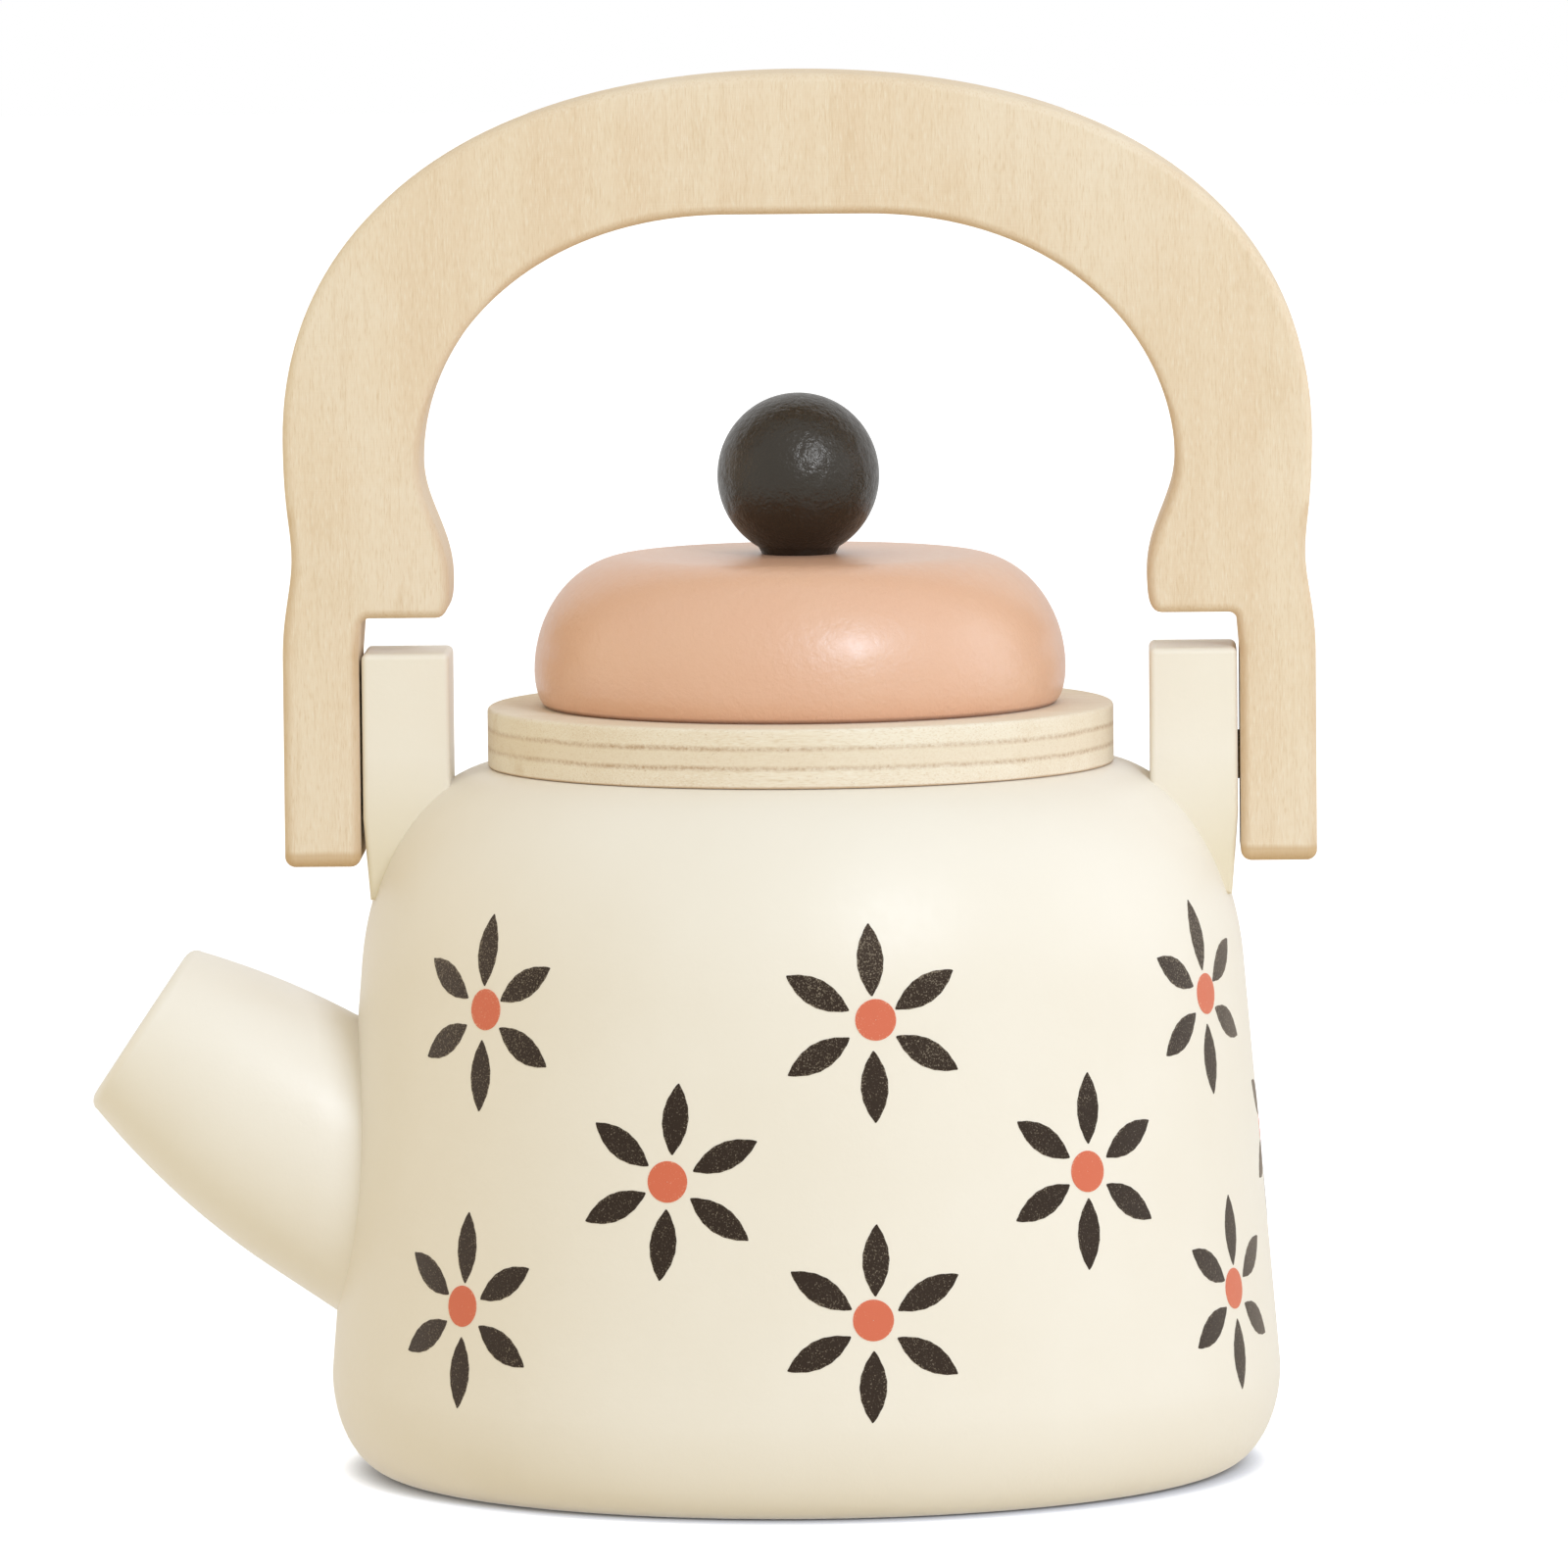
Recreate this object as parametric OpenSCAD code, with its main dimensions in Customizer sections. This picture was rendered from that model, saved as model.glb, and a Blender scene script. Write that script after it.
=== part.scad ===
// A wooden toy kettle: a turned, hollow body with a plywood rim, a lift-off lid with
// a ball knob, a barrel-shaped spout, and a plywood bow handle that swings on two
// posts let into the body's shoulder. Millimetres, +Z up. The origin is on the body's
// axis, at the base. The spout points to -X and the handle swings about X.

/* [Body] */
// Height of the body, from its base to its top face
body_h = 86.4; // [82:0.1:90]
// Radius at the widest place, just above the base's rounding
belly_r = 58.2; // [56:0.1:62]
// How much the straight side has narrowed where it would reach the top face
side_taper = 6.2; // [4:0.1:8]
// How far the base's rounding runs in
base_run = 7.3; // [4:0.1:10]
// How far the base's rounding rises
base_rise = 12; // [8:0.1:16]
// How far the shoulder's rounding runs in
shoulder_run = 15; // [12:0.1:16]
// How far the shoulder's rounding drops
shoulder_drop = 24; // [18:0.1:28]
// Width of the top face between the shoulder and the hollow
neck_wall = 4; // [3:0.1:8]
// Thickness of the floor
floor_t = 12; // [6:0.1:20]

/* [Rim] */
// How far the plywood rim stands out past the body's top face
collar_out = 1.3; // [0:0.1:2]
// Thickness of the rim
collar_t = 7.2; // [5:0.1:10]
// How far the rim reaches in over the hollow
mouth_lip = 6; // [4:0.1:9]
// Rounding of the rim's outer edges
collar_arris = 0.5; // [0.2:0.1:1]

/* [Lid] */
// Width of the rim that shows round the lid
lid_margin = 5.8; // [3:0.1:8]
// Height of the lid above the rim
lid_h = 18.4; // [15:0.1:22]
// How far the lid's lower rounding runs in
lid_foot_run = 1.7; // [0.8:0.1:1.9]
// How far the lid's lower rounding rises
lid_foot_rise = 4.4; // [2:0.1:6]
// How far the lid's upper rounding runs in
lid_crown_run = 12; // [8:0.1:16]
// Depth of the spigot that drops into the mouth
spigot_t = 7; // [4:0.1:10]
// Clearance round the spigot
spigot_play = 0.5; // [0.3:0.1:1]

/* [Knob] */
// Radius of the ball
knob_r = 9.9; // [8:0.1:12]
// Radius of the flat foot under the ball
knob_foot_r = 4.9; // [4:0.1:6]
// Height of that foot
knob_foot_h = 1; // [0.6:0.1:2]

/* [Spout] */
// Angle of the spout above the horizontal, in degrees
spout_tilt = 34; // [30:1:38]
// How far the mouth's centre stands out past the body's widest place
spout_out = 23.2; // [20:0.1:28]
// Height of the mouth's centre above the base
spout_lift = 54.7; // [50:0.1:58]
// Radius of the spout at its mouth
spout_mouth_r = 11.2; // [9:0.1:13]
// Radius of the spout where its barrel is full
spout_base_r = 16; // [14:0.1:18]
// Length over which the barrel swells
spout_swell_l = 30; // [20:0.1:34]
// Rounding of the rim of the mouth
spout_arris = 0.8; // [0.4:0.1:1.5]
// Radius of the drilled pouring hole
spout_bore_r = 4; // [3:0.1:5]
// Depth of the drilled pouring hole
spout_bore_l = 15; // [8:0.1:16]

/* [Posts] */
// Gap between the rim and a post
post_gap = 4.4; // [3:0.1:6]
// Width of a post along X
post_w = 10.7; // [9.5:0.1:12]
// Depth of a post along Y
post_d = 14; // [11:0.1:16]
// Height of a post above the body's top face
post_up = 14.2; // [12:0.1:16]
// How deep a post is let into the shoulder
post_down = 16; // [14:0.1:20]
// Rounding of a post's top edges
post_arris = 0.7; // [0.3:0.1:1.5]
// How much the outer face tapers in at the foot
post_taper = 0.8; // [0.2:0.1:1.2]
// Length of that taper
post_taper_l = 10; // [5:0.1:14]

/* [Handle] */
// Thickness of the plywood along Y
handle_t = 15; // [12:0.1:18]
// Width of a leg along X
leg_w = 9.2; // [8:0.1:11]
// Rounding of a leg's bottom corners
leg_round = 1.5; // [0.5:0.1:3]
// Gap between a leg and its post
leg_gap = 0.4; // [0.3:0.1:1]
// Length of a leg below the pivot
leg_down = 13.4; // [11:0.1:15]
// Height of the pivot above the body's top face
pivot_up = 0.6; // [0:0.1:2]
// Height of the top of the handle above the pivot
handle_rise = 84; // [80:0.1:90]
// Height of the wood at the top of the arch
arch_t = 17.2; // [14:0.1:20]
// Width of the bow at its widest
bow_w = 17; // [15:0.1:19]
// Gap between the top of a post and the handle above it
notch_gap = 4; // [3.2:0.1:5]
// How far the handle reaches in past a post's inner face
nub_over = 0.2; // [0:0.1:1]

/* [Pins and dowels] */
// Radius of a pivot pin
pin_r = 3; // [2.5:0.1:3.5]
// Running clearance round a pivot pin in its post
pin_play = 0.05; // [0.02:0.01:0.1]
// How far a pivot pin runs into its post
pin_grip = 8.2; // [6:0.1:8.4]
// Radius of the dowels under the posts and the knob
dowel_r = 3; // [2:0.1:3.5]
// How far a post's dowel runs up into the post
post_dowel_up = 9; // [6:0.1:10]
// How far a post's dowel runs down into the body
post_dowel_down = 14; // [8:0.1:20]
// How far the knob's dowel runs down into the lid
knob_dowel_down = 12; // [8:0.1:14]
// How far the knob's dowel runs up into the ball
knob_dowel_up = 9; // [6:0.1:12]
// Radius of the spout's dowel
spout_dowel_r = 5; // [4:0.1:6]
// How far the spout's dowel runs out into the spout
spout_dowel_out = 12; // [8:0.1:13]
// How far the spout's dowel runs into the body
spout_dowel_in = 14; // [8:0.1:16]
// Room for glue round a dowel and in a curved joint
glue = 0.05; // [0.02:0.01:0.1]

/* [Hidden] */
$fn = 96;
steps = 12; // straight pieces in each curve
over = 1; // how far a cut runs past what it cuts
cream = [0.94, 0.92, 0.84];
birch = [0.91, 0.84, 0.72];
pink = [0.89, 0.68, 0.56];
charcoal = [0.2, 0.18, 0.17];
beech = [0.8, 0.65, 0.47];

side_top_r = belly_r - side_taper;
top_r = side_top_r - shoulder_run;
cavity_r = top_r - neck_wall;
collar_r = top_r + collar_out;
mouth_r = cavity_r - mouth_lip;
rim_z = body_h + collar_t;
lid_r = collar_r - lid_margin;
lid_top_z = rim_z + lid_h;
spigot_r = mouth_r - spigot_play;
knob_centre_h = knob_foot_h + sqrt(knob_r * knob_r - knob_foot_r * knob_foot_r);
spout_reach = belly_r + spout_out;
post_in = collar_r + post_gap;
post_out = post_in + post_w;
post_top_z = body_h + post_up;
post_foot_z = body_h - post_down;
post_dowel_x = post_in + (post_w - post_taper) / 2;
pivot_z = body_h + pivot_up;
leg_in = post_out + leg_gap;
leg_out = leg_in + leg_w;
notch_z = post_top_z + notch_gap;

// Side of the body between its two roundings: a straight taper.
side_slope = side_taper / (body_h - base_rise);
function side_r(z) = belly_r - side_slope * (z - base_rise);

// Distance along the spout's axis from its mouth to the body's side.
spout_l = (spout_out + side_slope * (spout_lift - base_rise))
    / (cos(spout_tilt) + side_slope * sin(spout_tilt));

// Cubic curve through p0 and p3 with the control points p1 and p2.
function curve(p0, p1, p2, p3) = [
    for (i = [0 : steps]) let (t = i / steps, u = 1 - t)
        u * u * u * p0 + 3 * u * u * t * p1 + 3 * u * t * t * p2 + t * t * t * p3
];

// Curve that leaves a along X and reaches b along Y. The two shares set how full it
// is at either end.
function bend(a, b, shares) = curve(
    a,
    [a.x + shares[0] * (b.x - a.x), a.y],
    [b.x, b.y + shares[1] * (a.y - b.y)],
    b
);

// Curve that leaves a and reaches b along Y, like half a wave.
function wave(a, b, shares) = curve(
    a,
    [a.x, a.y + shares[0] * (b.y - a.y)],
    [b.x, b.y + shares[1] * (a.y - b.y)],
    b
);

// Quarter of an ellipse round the centre c, from angle a0 to angle a1.
function round_edge(c, run, rise, a0, a1) = [
    for (i = [0 : steps]) let (a = a0 + (a1 - a0) * i / steps)
        [c.x + run * cos(a), c.y + rise * sin(a)]
];

// Half section of the solid body, its radius enlarged by grow.
function body_section(grow) = concat(
    [[0, 0]],
    round_edge([belly_r - base_run + grow, base_rise], base_run, base_rise, -90, 0),
    [
        for (i = [0 : steps]) let (
            a = 90 * i / steps,
            z = body_h - shoulder_drop * (1 - sin(a))
        ) [side_r(z) - shoulder_run * (1 - cos(a)) + grow, z]
    ],
    [[0, body_h]]
);

// Puts its children at the mouth of the spout, with +Z out along the spout.
module at_spout() {
    translate([-spout_reach, 0, spout_lift])
        rotate([0, spout_tilt - 90, 0])
            children();
}

module post_dowel_at() {
    translate([post_dowel_x, 0, post_foot_z]) children();
}

module solid_body(grow) {
    rotate_extrude() polygon(body_section(grow));
}

module post_notch() {
    room_d = post_d + 2 * glue;
    translate([post_in - glue, -room_d / 2, post_foot_z])
        cube([belly_r - post_in + over, room_d, post_down + over]);
    post_dowel_at()
        translate([0, 0, -post_dowel_down - glue])
            cylinder(r = dowel_r + glue, h = post_dowel_down + glue + over);
}

module body() {
    color(cream) difference() {
        solid_body(0);
        translate([0, 0, floor_t])
            cylinder(r = cavity_r, h = body_h - floor_t + over);
        post_notch();
        mirror([1, 0, 0]) post_notch();
        at_spout()
            translate([0, 0, -spout_l - spout_dowel_in - glue])
                cylinder(r = spout_dowel_r + glue, h = spout_dowel_in + spout_dowel_out);
    }
}

module collar() {
    a = collar_arris;
    section = concat(
        [[mouth_r, 0]],
        round_edge([collar_r - a, a], a, a, -90, 0),
        round_edge([collar_r - a, collar_t - a], a, a, 0, 90),
        [[mouth_r, collar_t]]
    );
    color(birch) translate([0, 0, body_h]) rotate_extrude() polygon(section);
}

// Radius of the spout at the distance s from its mouth, while its barrel swells.
function barrel_r(s) =
    spout_base_r - (spout_base_r - spout_mouth_r) * pow(1 - s / spout_swell_l, 2);

// A barrel that swells from the mouth and then runs straight into the body's side.
module spout() {
    end_l = spout_l + spout_base_r + over;
    arris_run = barrel_r(spout_arris) - spout_mouth_r + spout_arris;
    section = concat(
        [[0, -end_l], [spout_base_r, -end_l]],
        [
            for (i = [0 : steps - 1]) let (s = spout_swell_l * (1 - i / steps))
                [barrel_r(s), -s]
        ],
        round_edge([spout_mouth_r - spout_arris, -spout_arris], arris_run, spout_arris, 0, 90),
        [[0, 0]]
    );
    color(cream) difference() {
        at_spout() rotate_extrude() polygon(section);
        solid_body(glue);
        at_spout() translate([0, 0, -spout_bore_l])
            cylinder(r = spout_bore_r, h = spout_bore_l + over);
        at_spout() translate([0, 0, -end_l - over])
            cylinder(r = spout_dowel_r + glue, h = end_l + over - spout_l + spout_dowel_out + glue);
    }
}

module spout_dowel() {
    color(beech) at_spout()
        translate([0, 0, -spout_l - spout_dowel_in])
            cylinder(r = spout_dowel_r, h = spout_dowel_in + spout_dowel_out);
}

// One post, on the +X side: its front outline crossed with its side outline.
module post() {
    a = post_arris;
    half_d = post_d / 2;
    front = concat(
        [
            [post_in, post_foot_z],
            [post_out - post_taper, post_foot_z],
            [post_out, post_foot_z + post_taper_l],
        ],
        round_edge([post_out - a, post_top_z - a], a, a, 0, 90),
        round_edge([post_in + a, post_top_z - a], a, a, 90, 180)
    );
    side = concat(
        [[-half_d, post_foot_z], [half_d, post_foot_z]],
        round_edge([half_d - a, post_top_z - a], a, a, 0, 90),
        round_edge([a - half_d, post_top_z - a], a, a, 90, 180)
    );
    color(cream) difference() {
        intersection() {
            rotate([90, 0, 0])
                linear_extrude(height = post_d, center = true) polygon(front);
            translate([post_in - over, 0, 0]) rotate([90, 0, 90])
                linear_extrude(height = post_w + 2 * over) polygon(side);
        }
        translate([post_out - pin_grip - leg_gap, 0, pivot_z]) rotate([0, 90, 0])
            cylinder(r = pin_r + pin_play, h = pin_grip + leg_gap + over);
        post_dowel_at()
            translate([0, 0, -over])
                cylinder(r = dowel_r + glue, h = post_dowel_up + glue + over);
    }
}

module post_dowel() {
    color(beech) post_dowel_at()
        translate([0, 0, -post_dowel_down])
            cylinder(r = dowel_r, h = post_dowel_down + post_dowel_up);
}

module post_left() {
    mirror([1, 0, 0]) post();
}

module post_right() {
    post();
}

module post_dowel_left() {
    mirror([1, 0, 0]) post_dowel();
}

module post_dowel_right() {
    post_dowel();
}

// The handle's outline, as distances from the middle and heights above the pivot. The
// shares place the crests of its outer and inner waves between the pivot and the top.
module handle_outline() {
    half = concat(outer_side(), inner_side());
    last = len(half) - 1;
    polygon(concat(half, [for (i = [last : -1 : 1]) [-half[i].x, half[i].y]]));
}

shoulder_share = 0.472;
waist_share = 0.301;
flare_share = 0.155;
bow_share = 0.435;
nub_share = 0.264;
crown_shares = [0.649, 0.586]; // fullness of each curve, from the top round to the notch
waist_shares = [0.6, 0.26];
flare_shares = [0.31, 0.45];
arch_shares = [0.628, 0.505];
neck_shares = [0.41, 0.36];
corner_shares = [0.9, 0.5];
shoulder_in = 0.3; // how far the bow's outer side lies inside the leg's
waist_in = 1.2; // how far the outer side waves in at the waist
arch_flat = 8.5; // half the straight stretch on the arch's underside
nub_round = 1.8; // rounding of the nub's lower corner along X
notch_round = 1; // rounding of the notch's outer corner
leg_ease = 0.3; // how far the leg's inner side leans in below the notch
leg_ease_l = 4.6; // length of that lean

function outer_side() = let (
    shoulder = [leg_out - shoulder_in, shoulder_share * handle_rise],
    waist = [leg_out - waist_in, waist_share * handle_rise],
    flare = [leg_out, flare_share * handle_rise]
) concat(
    bend([0, handle_rise], shoulder, crown_shares),
    wave(shoulder, waist, waist_shares),
    wave(waist, flare, flare_shares),
    round_edge(
        [leg_out - leg_round, leg_round - leg_down], leg_round, leg_round, 0, -90
    )
);

function inner_side() = let (
    notch_h = notch_z - pivot_z,
    nub = [post_in - nub_over, nub_share * handle_rise],
    bow = [leg_out - bow_w, bow_share * handle_rise],
    corner = [leg_in - leg_ease - notch_round, notch_h - notch_round],
    arch = bend([arch_flat, handle_rise - arch_t], bow, arch_shares)
) concat(
    round_edge(
        [leg_in + leg_round, leg_round - leg_down], leg_round, leg_round, -90, -180
    ),
    [[leg_in, notch_h - leg_ease_l]],
    round_edge(corner, notch_round, notch_round, 0, 90),
    bend([nub.x + nub_round, notch_h], nub, corner_shares),
    wave(nub, bow, neck_shares),
    [for (i = [steps : -1 : 0]) arch[i]]
);

module pin_hole() {
    translate([leg_in - over, 0, pivot_z]) rotate([0, 90, 0])
        cylinder(r = pin_r + glue, h = leg_w + 2 * over);
}

module handle() {
    color(birch) difference() {
        translate([0, 0, pivot_z]) rotate([90, 0, 0])
            linear_extrude(height = handle_t, center = true) handle_outline();
        pin_hole();
        mirror([1, 0, 0]) pin_hole();
    }
}

// Glued in the leg, flush with its outer face, and free to turn in the post.
module pivot_pin() {
    color(beech) translate([post_out - pin_grip, 0, pivot_z]) rotate([0, 90, 0])
        cylinder(r = pin_r, h = pin_grip + leg_gap + leg_w);
}

module pivot_pin_left() {
    mirror([1, 0, 0]) pivot_pin();
}

module pivot_pin_right() {
    pivot_pin();
}

module lid() {
    crown_rise = lid_h - lid_foot_rise;
    section = concat(
        [
            [0, -spigot_t],
            [spigot_r, -spigot_t],
            [spigot_r, 0],
        ],
        round_edge(
            [lid_r - lid_foot_run, lid_foot_rise], lid_foot_run, lid_foot_rise, -90, 0
        ),
        round_edge([lid_r - lid_crown_run, lid_foot_rise], lid_crown_run, crown_rise, 0, 90),
        [[0, lid_h]]
    );
    color(pink) difference() {
        translate([0, 0, rim_z]) rotate_extrude() polygon(section);
        translate([0, 0, lid_top_z - knob_dowel_down - glue])
            cylinder(r = dowel_r + glue, h = knob_dowel_down + glue + over);
    }
}

// A ball on a short round foot, with the foot's underside on the lid.
module knob() {
    color(charcoal) translate([0, 0, lid_top_z]) difference() {
        union() {
            translate([0, 0, knob_centre_h]) sphere(r = knob_r);
            cylinder(r = knob_foot_r, h = knob_centre_h);
        }
        translate([0, 0, -knob_r]) cylinder(r = knob_r, h = knob_r);
        translate([0, 0, -over])
            cylinder(r = dowel_r + glue, h = over + knob_dowel_up + glue);
    }
}

module knob_dowel() {
    color(beech) translate([0, 0, lid_top_z - knob_dowel_down])
        cylinder(r = dowel_r, h = knob_dowel_down + knob_dowel_up);
}

body();
collar();
spout();
spout_dowel();
post_left();
post_right();
post_dowel_left();
post_dowel_right();
handle();
pivot_pin_left();
pivot_pin_right();
lid();
knob();
knob_dowel();
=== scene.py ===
# %% [markdown]
# # A wooden toy kettle, from frame to picture
#
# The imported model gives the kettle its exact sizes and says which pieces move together.
# This file dresses it: each visible piece is worked out again as a smooth surface with
# numpy, gets its own finish, and rides on the body that carries it. Shapes are worked
# out in millimetres and go into their meshes in metres. +Z is up, the axis of the
# turned body is the Z axis, the spout points to -X and the camera looks along +Y.

import bpy
import numpy as np
from mathutils import Matrix


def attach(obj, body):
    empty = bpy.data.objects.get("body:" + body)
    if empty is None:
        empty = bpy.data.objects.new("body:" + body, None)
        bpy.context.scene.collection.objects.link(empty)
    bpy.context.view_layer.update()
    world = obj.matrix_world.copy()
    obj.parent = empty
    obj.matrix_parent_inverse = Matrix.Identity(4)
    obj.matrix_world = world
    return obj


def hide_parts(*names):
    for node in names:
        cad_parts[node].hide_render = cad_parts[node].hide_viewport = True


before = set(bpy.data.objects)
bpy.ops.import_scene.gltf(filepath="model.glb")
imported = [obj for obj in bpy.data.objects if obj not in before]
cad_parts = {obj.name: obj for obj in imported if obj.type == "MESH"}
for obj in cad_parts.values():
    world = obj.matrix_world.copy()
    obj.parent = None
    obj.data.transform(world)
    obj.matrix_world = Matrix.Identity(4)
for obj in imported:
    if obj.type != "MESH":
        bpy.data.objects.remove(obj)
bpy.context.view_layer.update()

# %% [markdown]
# ## Helpers for meshes
#
# Nearly every piece is a grid of points: rows along a profile, columns round an axis.
# A face joins four neighbours of that grid, so one index formula serves them all.
# Faces must point outwards. The volume that they enclose tells: it comes out negative
# when a piece is inside out, and then every face is turned over.

# %% Sizes in millimetres that finishes need too
MM = 0.001
BODY_H, COLLAR_T, HANDLE_T = 86.4, 7.2, 15.0
RIM_Z = BODY_H + COLLAR_T
PIVOT_Z, PIN_R, LEG_OUT, LEG_DOWN = 87.0, 3.0, 63.0, 12.5


# %% Grid faces and the volume test
def grid_quads(rows, columns, loop_rows=False, loop_columns=False):
    """Quads between neighbours of a grid whose point (i, j) has the number
    i * columns + j. A loop joins its last row or column to its first."""
    i = np.arange(rows if loop_rows else rows - 1)[:, None]
    j = np.arange(columns if loop_columns else columns - 1)[None, :]
    up, on = (i + 1) % rows, (j + 1) % columns
    corners = [i * columns + j, i * columns + on, up * columns + on, up * columns + j]
    return np.stack(np.broadcast_arrays(*corners), -1).reshape(-1, 4)


def enclosed_volume(points, faces):
    """Sum of the signed volumes between the origin and each face, split in triangles."""
    total = 0.0
    for corners in faces:
        a = points[corners[:, :1]]
        b, c = points[corners[:, 1:-1]], points[corners[:, 2:]]
        total += float(np.sum(a * np.cross(b, c))) / 6
    return total


# %% Arrays into a mesh and into the scene
def put_in_scene(name, data):
    """A new object in the scene."""
    made = bpy.data.objects.new(name, data)
    bpy.context.scene.collection.objects.link(made)
    return made


def make_piece(name, points, faces, body, finishes, slot=None, stands_for=(), **more):
    """A piece from points in millimetres and a list of face arrays, each with its own
    number of corners. It rides on body. more may hold marks (an attribute's name and
    values) and finish_of (the finish number of each face)."""
    if enclosed_volume(points, faces) < 0:
        faces = [group[:, ::-1] for group in faces]
    mesh = bpy.data.meshes.new(name)
    corners = [face for group in faces for face in group.tolist()]
    mesh.from_pydata((points * MM).tolist(), [], corners)
    mesh.polygons.foreach_set("use_smooth", np.ones(len(mesh.polygons), bool))
    mesh.set_sharp_from_angle(angle=np.radians(35))
    for finish in finishes:
        mesh.materials.append(finish)
    if "finish_of" in more:
        mesh.polygons.foreach_set("material_index", more["finish_of"].astype(np.int32))
    if "marks" in more:
        label, values = more["marks"]
        mesh.attributes.new(label, "FLOAT", "POINT").data.foreach_set(
            "value", values.astype(np.float32).ravel()
        )
    mesh.update()
    piece = put_in_scene(name, mesh)
    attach(piece, body)
    if stands_for:
        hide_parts(*stands_for)
    low, high = points.min(0), points.max(0)
    print(f"{name}: {len(mesh.polygons)} faces, {low.round(1)} to {high.round(1)} mm")
    return piece


# %% A profile carried round the Z axis
FINE = 320  # columns of a turned piece


def joined(*runs):
    """Runs of points, or of faces, one after another."""
    return np.concatenate(runs)


def end_fans(rings, columns):
    """Triangles that close a tube of rings: the first ring meets the point that is
    numbered after all the rings, and the last ring meets the point after that."""
    here, on = np.arange(columns), (np.arange(columns) + 1) % columns
    first, top = rings * columns, (rings - 1) * columns
    return joined(
        np.stack([np.full(columns, first), on, here], -1),
        np.stack([np.full(columns, first + 1), top + here, top + on], -1),
    )


def turned(profile, columns=FINE, looped=False):
    """Points (r cos a, r sin a, z) for each (r, z) of the profile and each angle a. A
    looped profile closes on itself, as a ring's does. Any other one starts and ends on
    the axis, where a fan of triangles meets in one point."""
    angle = 2 * np.pi * np.arange(columns) / columns
    rings = profile if looped else profile[1:-1]
    x = rings[:, :1] * np.cos(angle)
    y = rings[:, :1] * np.sin(angle)
    z = np.broadcast_to(rings[:, 1:], x.shape)
    points = np.stack([x, y, z], -1).reshape(-1, 3)
    quads = grid_quads(len(rings), columns, loop_rows=looped, loop_columns=True)
    if looped:
        return points, [quads]
    ends = np.array([[0, 0, profile[0, 1]], [0, 0, profile[-1, 1]]])
    return joined(points, ends), [quads, end_fans(len(rings), columns)]


def quarter(centre, run, rise, start, end, count):
    """Points of an ellipse round the centre, from angle start to end in degrees."""
    a = np.radians(np.linspace(start, end, count))
    return np.c_[centre[0] + run * np.cos(a), centre[1] + rise * np.sin(a)]


def straight(start, end, count):
    """Even points from start to end, both left out, so that runs can be joined."""
    share = np.linspace(0, 1, count + 2)[1:-1, None]
    return np.asarray(start) * (1 - share) + np.asarray(end) * share


# %% [markdown]
# ## Helpers for finishes
#
# A finish is a small graph of nodes. It reads Object coordinates, which are metres in
# the kettle's own frame, so a scale of 1000 makes details of about a millimetre. Wood
# and paint are solid patterns: they run through the piece, as in the real thing, and no
# flat picture has to be wrapped round it.

# %% A short way to add nodes
def emptied(tree):
    """Clears a node tree and gives a function that adds a node to it, sets its
    properties and fills its sockets with a value or a link, and returns its outputs."""
    tree.nodes.clear()

    def add(kind, sockets=(), **properties):
        made = tree.nodes.new("ShaderNode" + kind)
        for key, value in properties.items():
            setattr(made, key, value)
        for key, value in dict(sockets).items():
            if isinstance(value, bpy.types.NodeSocket):
                tree.links.new(value, made.inputs[key])
            else:
                made.inputs[key].default_value = value
        return made.outputs

    return add


def new_finish(name):
    """An empty material and the function that adds its nodes."""
    finish = bpy.data.materials.new(name)
    finish.use_nodes = True
    return finish, emptied(finish.node_tree)


def calc(add, operation, *values):
    """One Math node."""
    return add("Math", enumerate(values), operation=operation)[0]


def spread(add, value, low, high, to_low=0.0, to_high=1.0):
    """value between low and high, stretched and cut to to_low and to_high."""
    sockets = {1: low, 2: high, 3: to_low, 4: to_high, 0: value}
    return add("MapRange", sockets)[0]


def blend(add, share, first, second):
    """The colour first where share is 0, second where it is 1."""
    return add("Mix", {0: share, 6: first, 7: second}, data_type="RGBA")[2]


def grains(add, place, scale, detail=2.0, rough=0.5, stretch=None):
    """Noise of about 1 / scale metres. stretch is (x, y, z): the larger a number, the
    finer the pattern runs that way."""
    if stretch:
        place = add("Mapping", {"Vector": place, "Scale": stretch})[0]
    sockets = {"Vector": place, "Scale": scale, "Detail": detail, "Roughness": rough}
    return add("TexNoise", sockets)[0]


def srgb(red, green, blue):
    """A colour as a picture shows it, 0 to 255, as the linear values that nodes use."""
    c = np.array([red, green, blue]) / 255
    linear = np.where(c <= 0.04045, c / 12.92, ((c + 0.055) / 1.055) ** 2.4)
    return (*linear.tolist(), 1.0)


# %% [markdown]
# ## Satin paint
#
# The body, spout, posts, lid and knob are sprayed with a satin paint for toys. Close up
# such paint isn't flat: it dries with a fine orange-peel skin, lies a little thicker
# here and thinner there, and holds tiny specks of dust. Noise of two sizes gives the
# skin as a bump, and a broad noise moves the colour by a few percent. A thin clear coat
# gives the soft second gloss of the lid.

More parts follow.
